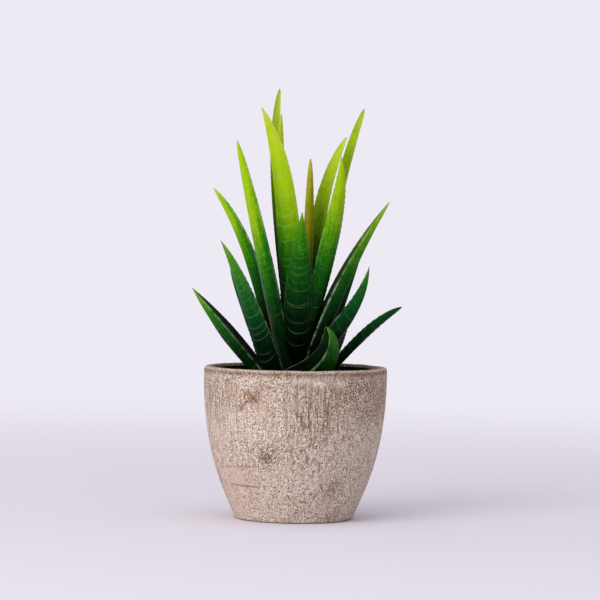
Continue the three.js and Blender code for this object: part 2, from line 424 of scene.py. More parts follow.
class Wax(SharedEffect):
    """The soft mottle and the fine lengthwise grain of a waxy leaf."""

    name = "waxy_leaf_mottle"
    takes = {"Place": ("NodeSocketVector", None), "Grain": ("NodeSocketVector", None)}
    gives = ("Mottle", "Thread", "Dapple")

    def recipe(self, bench: NodeBench, given: dict[str, Socket]) -> dict[str, Socket]:
        """Mottle is noise in space, threads are noise drawn out along the leaf."""
        drawn = bench.stretched(given["Grain"], (1.6, 0.09, 1.0))
        return {
            "Mottle": bench.noise(given["Place"], 260.0, 3.0, 0.55),
            "Thread": bench.noise(drawn, 1.0, 3.0, 0.6),
            "Dapple": bench.noise(given["Place"], 1300.0, 2.0, 0.6),
        }


def blank_finish(name: str) -> tuple[bpy.types.Material, NodeBench, bpy.types.Node]:
    """A new material with a shader in it.

    Args:
        name: The material's name.

    Returns:
        The material, a bench on its tree and its shader node.
    """
    material = bpy.data.materials.new(name)
    material.use_nodes = True
    tree = material.node_tree
    tree.nodes.clear()
    bench = NodeBench(tree)
    shader = bench.add("ShaderNodeBsdfPrincipled")
    bench.feed(bench.add("ShaderNodeOutputMaterial").inputs["Surface"], shader.outputs["BSDF"])
    return material, bench, shader


def raise_grain(bench: NodeBench, shader: bpy.types.Node, height: Socket, depth: float) -> None:
    """Lets a height stand out of the surface by a depth in metres."""
    node = bench.add("ShaderNodeBump")
    node.inputs["Strength"].default_value = 1.0
    node.inputs["Distance"].default_value = depth
    bench.feed(node.inputs["Height"], height)
    bench.feed(shader.inputs["Normal"], node.outputs["Normal"])


@dataclass(frozen=True)
class LeafFinish:
    """The skin of a leaf: a ramp from its dark root to its pale tip, and its pale marks."""

    name: str
    back: tuple[tuple[float, str], ...]
    inner: tuple[tuple[float, str], ...]
    mark: str = "a6d08c"
    margin: str = "adc69a"
    # Pale grey of the painted sheen.
    bloom: str = "a9b5a6"
    tip: str = "5a4a2a"
    mark_share: float = 0.5
    roughness: float = 0.4
    shine: float = 0.03
    grain_depth: float = 0.00012

    def material(self) -> bpy.types.Material:
        """Builds the material: tone picks the colour, and the carried masks lay marks on it."""
        material, bench, shader = blank_finish(self.name)
        wax = Wax().place(bench, Place=bench.position(), Grain=bench.carried("grain", "Vector"))
        shift = bench.maths("MULTIPLY_ADD", wax["Mottle"], 0.16, -0.08)
        thread = bench.maths("MULTIPLY_ADD", wax["Thread"], 0.2, -0.1)
        dapple = bench.maths("MULTIPLY_ADD", wax["Dapple"], 0.16, -0.08)
        tone = bench.maths("ADD", bench.carried("tone"), bench.maths("ADD", shift, thread))
        tone = bench.maths("ADD", tone, dapple, clamp=True)
        # The inner face takes the darker olive ramp: partly the leaf's own colour, partly painted
        # shade.
        skin = bench.blend(
            bench.carried("inner"), bench.ramp(tone, self.back), bench.ramp(tone, self.inner)
        )
        fresh = bench.window(tone, 0.15, 0.6, 0.1)
        speck = bench.times(bench.window(wax["Dapple"], 0.57, 0.68), fresh)
        rib = bench.times(bench.carried("rib"), self.mark_share)
        edge = bench.times(bench.carried("margin"), bench.window(wax["Mottle"], 0.3, 0.7))
        # Painted sheen: a pale streak where light glances off the back, also made rougher.
        bloom = bench.times(bench.carried("bloom"), bench.window(wax["Thread"], 0.35, 0.7))
        skin = bench.overlaid(
            skin, (speck, self.mark), (rib, self.mark), (edge, self.margin),
            (bloom, self.bloom), (bench.carried("tip"), self.tip),
        )
        bench.feed(shader.inputs["Base Color"], skin)
        rough = bench.maths("MULTIPLY_ADD", wax["Mottle"], 0.3, self.roughness - 0.15)
        bench.feed(shader.inputs["Roughness"], bench.maths("MULTIPLY_ADD", bloom, 0.3, rough))
        shader.inputs["Specular IOR Level"].default_value = self.shine
        height = bench.maths("MULTIPLY_ADD", wax["Dapple"], 0.5, wax["Thread"])
        raise_grain(bench, shader, height, self.grain_depth)
        return material


@dataclass(frozen=True)
class PulpFinish:
    """Pressed grey-beige fibre with brown stains, dark scores and chalky wear."""

    name: str = "pressed_pulp"
    fibre: str = "d9c3b2"
    pale: str = "fdf6ef"
    dark: str = "6a4d38"
    brown: str = "93674a"
    olive: str = "6a4d1c"
    peach: str = "d6bcab"
    # Near black on the inner wall and the inner half of the rim's top: partly soil stain, partly
    # painted shade.
    soiled: str = "150d09"
    fineness: float = 2000.0
    blotches: float = 120.0
    shine: float = 0.25
    grain_depth: float = 0.0004

    def material(self) -> bpy.types.Material:
        """Builds the material: flecks and streaks over fibre, then the carried stains."""
        material, bench, shader = blank_finish(self.name)
        flecks = Flecks().place(
            bench, Place=bench.position(), Fineness=self.fineness, Blotches=self.blotches)
        even = bench.carried("even")
        patchy = bench.maths("ADD", bench.window(flecks["Blotch"], 0.35, 0.62), 0.6, clamp=True)
        plain = bench.maths("SUBTRACT", 1.0, bench.times(even, 0.6))
        rest = bench.times(patchy, plain)
        skin = bench.blend(bench.times(even, 0.7), paint(self.fibre), paint(self.peach))
        broken = bench.maths("ADD", bench.window(flecks["Grit"], 0.35, 0.6), 0.35, clamp=True)
        rust = bench.times(bench.carried("stain"), broken)
        stain = bench.maths("MULTIPLY_ADD", bench.window(flecks["Blotch"], 0.5, 0.75), 0.3, rust)
        stain = bench.times(stain, 0.85, clamp=True)
        olive = bench.times(bench.carried("olive"), broken, clamp=True)
        dark = bench.times(bench.window(flecks["Fleck"], 0.485, 0.4, 0.95), rest)
        pale = bench.times(bench.window(flecks["Fleck"], 0.52, 0.61, 0.95), rest)
        streak = bench.times(bench.window(flecks["Streak"], 0.48, 0.34, 0.3), rest)
        line = bench.times(bench.window(flecks["Streak"], 0.5, 0.43), bench.carried("combed"))
        chalk = bench.times(bench.carried("chalk"), bench.window(flecks["Grit"], 0.4, 0.6))
        skin = bench.overlaid(
            skin, (stain, self.brown), (olive, self.olive), (dark, self.dark),
            (pale, self.pale), (streak, self.dark), (line, self.dark),
            (bench.carried("score"), self.dark), (chalk, self.pale),
            (bench.carried("soiled"), self.soiled),
        )
        bench.feed(shader.inputs["Base Color"], skin)
        bench.feed(shader.inputs["Roughness"], bench.window(flecks["Grit"], -0.5, 0.6))
        shader.inputs["Specular IOR Level"].default_value = self.shine
        height = bench.maths("MULTIPLY_ADD", flecks["Streak"], 0.8, flecks["Fleck"])
        raise_grain(bench, shader, height, self.grain_depth)
        return material


@dataclass(frozen=True)
class SoilFinish:
    """Very dark damp soil, with a few lighter grains."""

    name: str = "dark_soil"
    damp: str = "1b100b"
    dry: str = "402a1e"
    grain: str = "77634e"
    shine: float = 0.25
    grain_depth: float = 0.0008

    def material(self) -> bpy.types.Material:
        """Builds the material: damp and dry soil mixed by blotches, and light grains."""
        material, bench, shader = blank_finish(self.name)
        flecks = Flecks().place(bench, Place=bench.position(), Fineness=1500.0, Blotches=260.0)
        drying = bench.window(flecks["Blotch"], 0.4, 0.7)
        skin = bench.blend(drying, paint(self.damp), paint(self.dry))
        skin = bench.overlaid(skin, (bench.window(flecks["Fleck"], 0.66, 0.74, 0.7), self.grain))
        bench.feed(shader.inputs["Base Color"], skin)
        bench.feed(shader.inputs["Roughness"], bench.window(flecks["Grit"], -0.6, 0.6))
        shader.inputs["Specular IOR Level"].default_value = self.shine
        raise_grain(bench, shader, flecks["Grit"], self.grain_depth)
        return material


@dataclass(frozen=True)
class FibreFinish:
    """Dry straw-coloured fibre, or the brown skin of the stem."""

    name: str
    light: str
    dark: str
    grain_depth: float = 0.0003

    def material(self) -> bpy.types.Material:
        """Builds the material: two tones mixed by fine flecks."""
        material, bench, shader = blank_finish(self.name)
        flecks = Flecks().place(bench, Place=bench.position(), Fineness=900.0, Blotches=150.0)
        dry = bench.window(flecks["Grit"], 0.35, 0.65)
        skin = bench.blend(dry, paint(self.dark), paint(self.light))
        skin = bench.overlaid(skin, (bench.window(flecks["Blotch"], 0.5, 0.7, 0.6), self.dark))
        bench.feed(shader.inputs["Base Color"], skin)
        bench.feed(shader.inputs["Roughness"], bench.window(flecks["Fleck"], -0.4, 0.7))
        raise_grain(bench, shader, flecks["Fleck"], self.grain_depth)
        return material


class LeafKind(Enum):
    """Which ring of the rosette a leaf belongs to. The value is its slot in the record."""

    HEART = "leaf_heart"
    MIDDLE = "leaf_middle"
    LOW = "leaf_low"


GREENS = (
    (0.0, "010302"), (0.15, "021e05"), (0.3, "053a0c"), (0.42, "12560a"), (0.52, "287003"),
    (0.62, "4d9004"), (0.72, "84b00c"), (0.82, "9dc410"), (0.92, "aacb12"), (1.0, "c0d23a"),
)
# Olive tones for the inner faces, darker than the greens: partly their own colour, partly painted
# shade.
OLIVES = (
    (0.0, "010302"), (0.2, "051a08"), (0.4, "14380c"), (0.55, "345806"), (0.7, "62880a"),
    (0.85, "8fb00e"), (1.0, "b8cc38"),
)
BLUE_GREENS = (
    (0.0, "010302"), (0.15, "02200c"), (0.3, "07421c"), (0.45, "1a5f20"), (0.6, "3c841e"),
    (0.8, "7aa82a"), (1.0, "abc450"),
)
AMBERS = (
    (0.0, "1a2206"), (0.4, "425e08"), (0.55, "687606"), (0.7, "838408"), (0.82, "969714"),
    (0.92, "b4b440"), (1.0, "ced084"),
)


# ---- leaves ----------------------------------------------------------------------------------


@dataclass(frozen=True)
class Ribs:
    """The pale raised arcs across a leaf's back: where they are and how they sweep up."""

    count: int = 3
    first: float = 0.35
    last: float = 0.7
    sweep: float = 1.4
    flick: float = 1.6
    strength: float = 0.5
    reach: tuple[float, float] = (-1.0, 1.0)


BARE = Ribs(0)


@dataclass(frozen=True)
class Leaf:
    """One leaf, with a rounded back and a hollowed inner face, along a gently bent spine.

    Root is an azimuth and a radius about the rosette's axis. Azimuth, lean and face are pairs,
    at the root and at the tip: lean is measured from upright, and face is the azimuth that the
    back looks towards. Lift makes the tone lighter towards the tip and root lift towards the
    root. Painted side light makes the leaf lighter on the left and darker on the right, as light
    falls on it, and a painted shade darkens the right edge of the back. A vivid leaf takes the
    middle ring's brighter greens.
    """

    name: str
    root: tuple[float, float]
    azimuth: tuple[float, float]
    lean: tuple[float, float]
    length: float
    width: float
    face: tuple[float, float]
    kind: LeafKind
    root_height: float = 58.0
    late: float = 1.0
    bow: float = 0.0
    turn_late: float = 1.0
    base_share: float = 0.7
    widest_at: float = 0.5
    taper: float = 1.4
    tip_power: float = 0.7
    depth: float = 0.8
    channel: float = 0.25
    keel: float = 1.8
    lift: float = 0.0
    root_lift: float = 0.0
    # Shift of the inner face's tone: partly its own colour, partly painted shade.
    inner_lift: float = 0.0
    ribs: Ribs = Ribs()
    teeth: float = 0.22
    pale_margin: float = 0.3
    # Painted side light, then painted shade on the back's right edge.
    slant: float = 0.0
    shade: float = 0.0
    # Strength of the painted sheen, a pale streak low on the left of the back.
    bloom: float = 0.0
    vivid: bool = False
    seed: int = 1

    STATION: ClassVar[float] = 0.33
    FEWEST_STATIONS: ClassVar[int] = 24
    BACK_COLUMNS: ClassVar[int] = 38
    INNER_COLUMNS: ClassVar[int] = 18
    TIP_HALF_WIDTH: ClassVar[float] = 0.35
    TIP_ROUND: ClassVar[float] = 1.6
    MARGIN_THICKNESS: ClassVar[float] = 0.1
    ROSETTE: ClassVar[tuple[float, float]] = (0.5, 0.0)
    TOOTH_PITCH: ClassVar[float] = 2.7
    RIB_WIDTH: ClassVar[float] = 0.17
    RIB_FADE: ClassVar[float] = 0.12
    RIB_SEED: ClassVar[int] = 400
    MARGIN_LINE: ClassVar[float] = 0.17
    MARGIN_REACH: ClassVar[float] = 0.3
    SWAY: ClassVar[float] = 0.02
    RIB_HEIGHT: ClassVar[float] = 0.15
    SOFT_HEIGHT: ClassVar[float] = 0.09
    THREAD_HEIGHT: ClassVar[float] = 0.03
    # Tone by height: the near black low in the crown is partly the leaves' own colour, partly
    # painted shade.
    TONE_BY_HEIGHT: ClassVar[tuple[tuple[float, float], ...]] = (
        (66, 0.0), (78, 0.06), (87, 0.16), (98, 0.3), (108, 0.42), (116, 0.52), (124, 0.62),
        (133, 0.72), (146, 0.82), (160, 0.92), (178, 1.0),
    )

    def between(self, pair: tuple[float, float], share: Array) -> Array:
        """The angle in radians between a pair given in degrees."""
        return np.radians(pair[0] + (pair[1] - pair[0]) * share)

    def direction(self, share: Array) -> Array:
        """Which way the leaf grows: its lean and azimuth, and the bow as half a sine wave."""
        lean = self.between(self.lean, share**self.late)
        lean = lean + np.radians(self.bow * np.sin(math.pi * share))
        azimuth = self.between(self.azimuth, share**self.turn_late)
        sine = np.sin(lean)
        return np.stack([sine * np.cos(azimuth), sine * np.sin(azimuth), np.cos(lean)], -1)

    def half_width(self, share: Array) -> Array:
        """Half the width: a quarter of a sine wave to the widest place, then a falling power.

        Beyond the widest place it is one minus a power, and tip power blunts what is left. The
        last stretch before the tip closes on a quarter of an ellipse.
        """
        swell = np.sin(np.minimum(share / self.widest_at, 1) * math.pi / 2)
        beyond = np.clip((share - self.widest_at) / (1 - self.widest_at), 0, 1)
        swelling = self.base_share + (1 - self.base_share) * swell
        narrowing = (1 - beyond**self.taper) ** self.tip_power
        half = np.maximum(self.width / 2 * swelling * narrowing, self.TIP_HALF_WIDTH)
        left = np.clip((1 - share) * self.length / self.TIP_ROUND, 0, 1)
        return half * np.sqrt(np.maximum(1 - (1 - left) ** 2, 0.004))

    def spine(self, share: Array) -> tuple[Array, Array, Array, Array]:
        """Adds up the directions from the root.

        Args:
            share: The shares of the length that the stations stand at.

        Returns:
            Centre, direction, the way the back looks and the side, for each station.
        """
        middle = self.direction((share[1:] + share[:-1]) / 2)
        steps = middle * np.diff(share)[:, None] * self.length
        angle, radius = math.radians(self.root[0]), self.root[1]
        root = np.array([
            self.ROSETTE[0] + radius * math.cos(angle),
            self.ROSETTE[1] + radius * math.sin(angle),
            self.root_height,
        ])
        centre = root + np.concatenate([np.zeros((1, 3)), np.cumsum(steps, axis=0)])
        along = self.direction(share)
        facing = self.between(self.face, share)
        out = np.stack([np.cos(facing), np.sin(facing), np.zeros_like(facing)], -1)
        out = out - along * np.sum(out * along, -1, keepdims=True)
        out = out / np.linalg.norm(out, axis=-1, keepdims=True)
        return centre, along, out, np.cross(along, out)

    def section(self) -> tuple[Array, Array, Array]:
        """The section for a half-width of 1, along the back and home along the inner face.

        Across is the sine of an even angle, so the columns crowd towards the margins. The
        back stands out by one minus a power of across, the inner face by one minus its square.

        Returns:
            Across, outwards, and 1 for the inner face's columns, 0 for the back's.
        """
        back = np.sin(np.radians(np.linspace(-90, 90, self.BACK_COLUMNS)))
        inner = np.sin(np.radians(np.linspace(90, -90, self.INNER_COLUMNS)))
        outwards = np.concatenate([
            self.depth * (1 - np.abs(back) ** self.keel),
            self.channel * (1 - inner**2) - self.MARGIN_THICKNESS,
        ])
        is_inner = np.concatenate([np.zeros(len(back)), np.ones(len(inner))])
        return np.concatenate([back, inner]), outwards, is_inner

    def rib_mask(self, along_mm: Array, across: Array) -> Array:
        """Where the raised arcs run.

        An arc's middle is at its own distance from the root, and it rises towards the margins
        by sweep times across squared plus flick times the sixth power of across, more on the
        left than on the right. Its line is a narrow bell, faded at both ends of its reach.

        Args:
            along_mm: Distance from the root, by station.
            across: Place across the section, by column.

        Returns:
            The mask, by station and column.
        """
        chance = np.random.default_rng(self.RIB_SEED + self.seed)
        mask = np.zeros((len(along_mm), len(across)))
        spread = np.linspace(0, 1, max(self.ribs.count, 2)) ** 0.85
        lopsided = self.ribs.flick * np.where(across < 0, 1.5, 0.5)
        rise = self.ribs.sweep * across**2 + lopsided * across**6
        for k in range(self.ribs.count):
            share = self.ribs.first + (self.ribs.last - self.ribs.first) * spread[k]
            share += chance.normal(0, 0.014)
            tilt = chance.normal(0, 0.5) * across
            low = self.ribs.reach[0] + chance.uniform(0, 0.35)
            high = self.ribs.reach[1] - chance.uniform(0, 0.35)
            ends = smooth(low - self.RIB_FADE, low + self.RIB_FADE, across)
            ends = ends * smooth(high + self.RIB_FADE, high - self.RIB_FADE, across)
            line = bump(along_mm[:, None] - share * self.length - rise - tilt, self.RIB_WIDTH)
            mask = np.maximum(mask, line * ends * chance.uniform(0.35, 1.0))
        return mask * self.ribs.strength

    def rings(self) -> tuple[Array, dict[str, Array]]:
        """The leaf's surface, with its arcs, teeth, threads and soft unevenness.

        Returns:
            Points by station and column in millimetres, and the values that the skin reads.
        """
        stations = max(self.FEWEST_STATIONS, round(self.length / self.STATION))
        share = np.linspace(0, 1, stations + 1)
        along_mm = share * self.length
        centre, _, out, side = self.spine(share)
        across, outwards, is_inner = self.section()
        zero = along_mm * 0
        sway = lattice_noise(np.stack([along_mm, zero, zero + self.seed], -1), 9, 5)
        half = self.half_width(share) * (1 + self.SWAY * sway)
        places = centre[:, None] + side[:, None] * (half[:, None] * across)[..., None]
        places = places + out[:, None] * (half[:, None] * outwards)[..., None]
        to_margin = (1 - np.abs(across))[None] * half[:, None]
        near_margin = bump(to_margin, self.MARGIN_REACH)
        margin_line = bump(to_margin, self.MARGIN_LINE)
        tooth = self.tooth_line(along_mm)[:, None] * near_margin * np.sign(across)
        rib = self.rib_mask(along_mm, across) * (1 - is_inner)
        grain = np.stack(np.broadcast_arrays(
            half[:, None] * across, along_mm[:, None], is_inner * 40.0 + self.seed * 7), -1)
        threads = lattice_noise(grain * np.array([1.4, 0.05, 1.0]), 1.0, 31)
        soft = lattice_noise(places, 7.0, 11 + self.seed)
        body = np.clip(half, 0, 2)[:, None] / 2 * (1 - near_margin)
        uneven = self.SOFT_HEIGHT * soft + self.THREAD_HEIGHT * threads
        relief = self.RIB_HEIGHT * rib + body * uneven
        places = places + outward(places) * relief[..., None] + side[:, None] * tooth[..., None]
        tone = self.tone(places[..., 2], share)
        # Painted side light: lighter on the left, darker on the right; then painted shade along the
        # back's right edge.
        tone = tone + is_inner * self.inner_lift - self.slant * across
        tone = tone - self.shade * smooth(0.5, 0.9, across) * (1 - is_inner)
        # A pale streak low on the left of the back: painted sheen.
        bloom = self.bloom * smooth(0.8, 0.25, share)[:, None] * smooth(0.45, -0.3, across)
        values = {
            "tone": tone,
            "inner": is_inner + 0 * tone,
            "rib": rib,
            "margin": self.pale_margin * margin_line * smooth(0.02, 0.2, share)[:, None],
            "tip": smooth(1.2, 0.3, (1 - share) * self.length)[:, None] * 0.7 + 0 * tone,
            "bloom": bloom * (1 - is_inner),
            "grain": grain,
        }
        return places, values

    def tooth_line(self, along_mm: Array) -> Array:
        """How far the margin's small teeth stand out: a high power of a raised cosine."""
        zero = along_mm * 0
        jitter = lattice_noise(np.stack([along_mm, zero, zero], -1), 6.0, self.seed)
        wave = 0.5 + 0.5 * np.cos(2 * math.pi * (along_mm / self.TOOTH_PITCH + 0.5 * jitter))
        ends = smooth(4, 12, along_mm) * smooth(2, 10, self.length - along_mm)
        return self.teeth * wave**5 * ends * (0.75 + 0.5 * jitter)

    def tone(self, height: Array, share: Array) -> Array:
        """How light the leaf is, from 0 at the dark crown to 1 at the highest tips."""
        # The darkness low in the crown is partly the leaves' own colour and partly painted shade.
        heights, tones = zip(*self.TONE_BY_HEIGHT)
        lifted = self.lift * share**0.7 + self.root_lift * (1 - share)
        return np.clip(np.interp(height, heights, tones) + lifted[:, None], 0, 1)

    def build(self, finish: bpy.types.Material) -> bpy.types.Object:
        """Makes the leaf, which stands for its node."""
        places, values = self.rings()
        _, along, _, _ = self.spine(np.array([0.0, 1.0]))
        tip = places[-1].mean(axis=0) + along[1] * 0.02
        skin = Skin.wrap(places, (places[0].mean(axis=0), tip), values)
        return seat(skin.make(f"{self.name}_skin", finish), self.kind.value, self.name)


@dataclass
class Rosette:
    """All the leaves, from the heart outwards, and their finishes."""

    heart: LeafFinish = LeafFinish("heart_leaf_skin", GREENS, OLIVES)
    middle: LeafFinish = LeafFinish("middle_leaf_skin", GREENS, OLIVES)
    low: LeafFinish = LeafFinish("low_leaf_skin", BLUE_GREENS, OLIVES)
    amber: LeafFinish = LeafFinish("amber_leaf_skin", AMBERS, AMBERS)

    def heart_leaves(self) -> list[Leaf]:
        """The four tall leaves in the heart."""
        leaf = partial(Leaf, kind=LeafKind.HEART)
        return [
            leaf("leaf_heart_yellow", (80, 2), (170, 170), (6, -3), 119, 5, (300, 300),
                 late=4, base_share=0.4, taper=3, tip_power=0.6, depth=0.5, lift=0.1,
                 teeth=0.1, ribs=BARE, seed=1),
            leaf("leaf_heart_broad", (261, 3), (190, 190), (3, 27), 122.5, 10.5,
                 (250, 260), late=4, base_share=0.4, widest_at=0.4, taper=2.5,
                 tip_power=0.8, depth=0.5, slant=-0.05,
                 ribs=Ribs(12, 0.36, 0.8, 1.3, 0.6, 0.6, (-0.9, 1.0)), seed=2),
            leaf("leaf_heart_tallest", (107, 2.7), (170, 170), (7, -9.5), 130, 4.4,
                 (110, 110), late=4, base_share=0.4, taper=4, tip_power=0.5, teeth=0.12,
                 ribs=BARE, seed=3),
            leaf("leaf_heart_amber", (300, 3), (0, 0), (3.7, 0), 99, 4.8, (280, 280),
                 base_share=0.6, widest_at=0.45, taper=2.2, tip_power=0.5, depth=0.5,
                 teeth=0.08, ribs=BARE, seed=4),
        ]

    def middle_leaves(self) -> list[Leaf]:
        """The leaves that stand round the heart."""
        leaf = partial(Leaf, kind=LeafKind.MIDDLE)
        return [
            leaf("leaf_right_broad", (262, 4), (330, 330), (14.5, -8), 102.5, 10,
                 (310, 310), late=8, base_share=0.4, widest_at=0.6, taper=1.9,
                 tip_power=0.8, depth=0.5, ribs=Ribs(8, 0.35, 0.78, 1.2, 1.0, 0.3),
                 teeth=0.3, seed=5),
            leaf("leaf_back_right", (35, 3), (30, 30), (4.3, 34), 112, 8, (60, 60),
                 late=3.5, base_share=0.5, taper=1.9, tip_power=0.6, depth=0.6, lift=0.04,
                 ribs=Ribs(3, 0.4, 0.7), seed=6),
            leaf("leaf_back_right_tall", (80, 6), (30, 30), (12, 24.5), 126, 6.5,
                 (40, 40), late=4, base_share=0.6, taper=3, tip_power=0.5, lift=-0.1,
                 teeth=0.15, slant=0.05, seed=7),
            leaf("leaf_left_tall", (231, 4.8), (205, 205), (12, 16), 109.5, 9.5,
                 (220, 220), widest_at=0.4, taper=1.7, tip_power=0.6, lift=-0.02,
                 root_lift=0.24, bloom=0.7, slant=0.02, shade=0.12,
                 ribs=Ribs(9, 0.3, 0.8, 1.6, 1.2, 0.3, (-0.5, 1.0)), seed=8),
            leaf("leaf_front_centre", (255, 4), (278, 278), (13, 13), 77.7, 12.2,
                 (270, 270), base_share=0.35, tip_power=0.9, depth=0.55, lift=-0.06,
                 pale_margin=0.12, teeth=0.14,
                 ribs=Ribs(14, 0.25, 0.92, 1.6, 3.2, 0.36, (-1.1, 1.1)), seed=9),
            leaf("leaf_back_centre", (85, 5), (85, 85), (22, 32), 76, 9, (85, 85),
                 ribs=Ribs(7, 0.3, 0.8, 1.6, 1.4, 0.4), lift=0.1, seed=10),
            leaf("leaf_right_channelled", (285, 2.5), (348, 348), (13, 39), 90.5,
                 12, (4, 4), base_share=0.9, widest_at=0.45, taper=1.2, tip_power=0.75,
                 depth=1, ribs=Ribs(5, 0.3, 0.75, 1.4, 1.0, 0.2), lift=0.06,
                 inner_lift=-0.04, pale_margin=0.7, teeth=0.3, seed=11),
            leaf("leaf_left_mid", (155, 6), (165, 165), (13, 42), 93, 10,
                 (200, 200), late=2.5, widest_at=0.4, taper=2, tip_power=0.65, depth=0.75,
                 ribs=BARE, lift=0.1, slant=0.08, shade=0.1, pale_margin=0.6, seed=12),
            leaf("leaf_right_second", (35, 8), (18, 18), (17, 25), 62, 7, (0, 0),
                 base_share=0.8, taper=1.3, lift=-0.05, seed=13),
        ]

    def low_leaves(self) -> list[Leaf]:
        """The outermost leaves, and three alike low at the back."""
        leaf = partial(Leaf, kind=LeafKind.LOW)
        shown = [
            leaf("leaf_back_left", (120, 7), (110, 110), (36, 34), 62, 10, (110, 110),
                 root_height=57, ribs=Ribs(6, 0.3, 0.8, 1.6, 1.4, 0.4), lift=0.2, seed=14),
            leaf("leaf_front_left", (225, 10.5), (225, 225), (27, 42), 73.7, 11,
                 (235, 235), late=5, root_height=57, base_share=0.9, widest_at=0.3,
                 taper=1.4, tip_power=0.8, depth=0.6, lift=0.18, pale_margin=0.25,
                 teeth=0.3, ribs=Ribs(13, 0.2, 0.8, 1.8, 1.6, 0.4), seed=15),
            leaf("leaf_left_second", (204, 6.7), (195, 195), (26, 24), 57, 8,
                 (200, 200), root_height=57, base_share=0.8, taper=1.3, lift=0.06,
                 teeth=0.3, pale_margin=0.5, seed=16),
            leaf("leaf_front_right_curled", (241, 15), (335, 370), (66, -22), 34.5,
                 14.5, (-4, 25), turn_late=0.7, late=2.2, root_height=60.5, base_share=0.8,
                 taper=1.6, tip_power=0.8, depth=1.3, vivid=True, lift=0.46,
                 inner_lift=-0.2, pale_margin=0.5,
                 ribs=Ribs(6, 0.3, 0.85, 1.2, 1.2, 0.3), seed=17),
            leaf("leaf_far_left_low", (180, 7.4), (180, 180), (39, 46), 58.7, 11.6,
                 (173, 173), late=2, root_height=56, base_share=0.8, taper=1.6,
                 tip_power=0.9, depth=0.95, vivid=True, lift=0.4, inner_lift=-0.2,
                 pale_margin=0.45, teeth=0.3, ribs=Ribs(6, 0.25, 0.8, 1.6, 1.2, 0.25), seed=18),
            leaf("leaf_right_low", (280, 2), (355, 355), (22, 10), 63, 10.5,
                 (325, 325), bow=21, root_height=56, base_share=0.8, widest_at=0.45,
                 taper=1.7, tip_power=0.9, depth=0.7, lift=0.12, teeth=0.3,
                 ribs=Ribs(6, 0.3, 0.8, 1.4, 1.4, 0.25), seed=19),
            leaf("leaf_far_right_low", (3, 6.8), (0, 0), (41, 63), 54, 6.5,
                 (330, 330), late=3, root_height=56, base_share=0.8, taper=2.4, depth=0.5,
                 lift=0.14, pale_margin=0.12, teeth=0.34,
                 ribs=Ribs(4, 0.3, 0.7, 1.2, 1.0, 0.2), seed=20),
        ]
        back_ribs = Ribs(6, 0.3, 0.8, 1.6, 1.2, 0.4)
        return shown + [
            leaf(f"leaf_back_low_{side}", root, (facing, facing), lean, length, 10,
                 (facing, facing), root_height=56, lift=lift, ribs=back_ribs, seed=seed)
            for side, root, facing, lean, length, lift, seed in (
                ("left", (140, 9), 114, (50, 42), 48, 0.35, 21),
                ("right", (45, 8), 60, (50, 42), 48, 0.35, 22),
                ("centre", (92, 9), 92, (56, 46), 42, 0.38, 23),
            )
        ]

    def build(self) -> None:
        """Makes every leaf in the finish of its ring of the rosette."""
        finishes = {
            LeafKind.HEART: self.heart.material(),
            LeafKind.MIDDLE: self.middle.material(),
            LeafKind.LOW: self.low.material(),
        }
        amber = self.amber.material()
        for leaf in self.heart_leaves() + self.middle_leaves() + self.low_leaves():
            is_amber = leaf.name == "leaf_heart_amber"
            ring = LeafKind.MIDDLE if leaf.vivid else leaf.kind
            leaf.build(amber if is_amber else finishes[ring])


# ---- pot -------------------------------------------------------------------------------------


@dataclass(frozen=True)
class Patch:
    """An oval patch on the pot's side. Turn is its azimuth from the front, to the right."""

    turn: float
    height: float
    width: float
    tall: float
    amount: float

    def mask(self, turn: Array, height: Array, radius: Array) -> Array:
        """A bell over the patch: across by arc length, and up by height."""
        across = angle_from(self.turn, turn) * radius / self.width
        return self.amount * np.exp(-(across**2) - ((height - self.height) / self.tall) ** 2)


@dataclass(frozen=True)
class Score:
    """A thin line on the pot's side, from one place to another."""

    start: tuple[float, float]
    end: tuple[float, float]
    width: float
    amount: float

    NARROWEST: ClassVar[float] = 0.3
    FADE: ClassVar[float] = 0.8

    def mask(self, turn: Array, height: Array, radius: Array) -> Array:
        """A bell about the straight line between the ends, measured along the surface."""
        across = angle_from((self.start[0] + self.end[0]) / 2, turn) * radius
        run = math.radians(self.end[0] - self.start[0]) * float(radius.mean())
        rise = self.end[1] - self.start[1]
        length = math.hypot(run, rise)
        level = height - (self.start[1] + self.end[1]) / 2
        along = (across * run + level * rise) / length
        off = (level * run - across * rise) / length
        within = smooth(length / 2 + self.FADE, length / 2 - self.FADE, np.abs(along))
        return self.amount * bump(off, max(self.width, self.NARROWEST)) * within


@dataclass(frozen=True)
class PotRelief:
    """How deep or high each kind of mark is, in millimetres.

    Calming is the share that even areas take off, and a pit starts where its noise passes the
    threshold.
    """

    groove: float = 0.15
    line: float = 0.18
    pit: float = 0.35
    chalk: float = 0.22
    rough: float = 0.035
    wide: float = 0.06
    inner_rough: float = 0.05
    calming: float = 0.7
    pit_threshold: float = 0.55
    rim_wear: float = 0.12
    rim_waves: float = 0.14
    rim_chips: float = 0.08


@dataclass(frozen=True)
class PotTint:
    """How strongly each place or mark adds to the dark scores, the stain and the chalk."""

    groove: float = 0.45
    line: float = 1.3
    pit: float = 2.0
    base_edge: float = 0.35
    # Painted shade: a dark band just under the rim's edge.
    painted_rim_shade: float = 0.8
    darkest: float = 0.9
    # Browner along the bottom edge.
    base_edge_brown: float = 0.25
    inside_stain: float = 0.35
    # Browner on the rim's top, then towards the top of the side.
    rim_top_brown: float = 0.9
    upper_side_brown: float = 0.4
    rim_chalk: float = 0.5
    # Near black on the rim's inner half: partly soil stain, partly painted shade.
    rim_soil_and_shade: float = 0.55


@dataclass
class PotSurface:
    """The pot's smooth surface and the marks on it, by profile row and mostly by column."""

    circle: Array
    height: Array
    side: Array
    inside: Array
    cut: Array
    lines: Array
    rough: Array
    pits: Array
    masks: dict[str, Array]


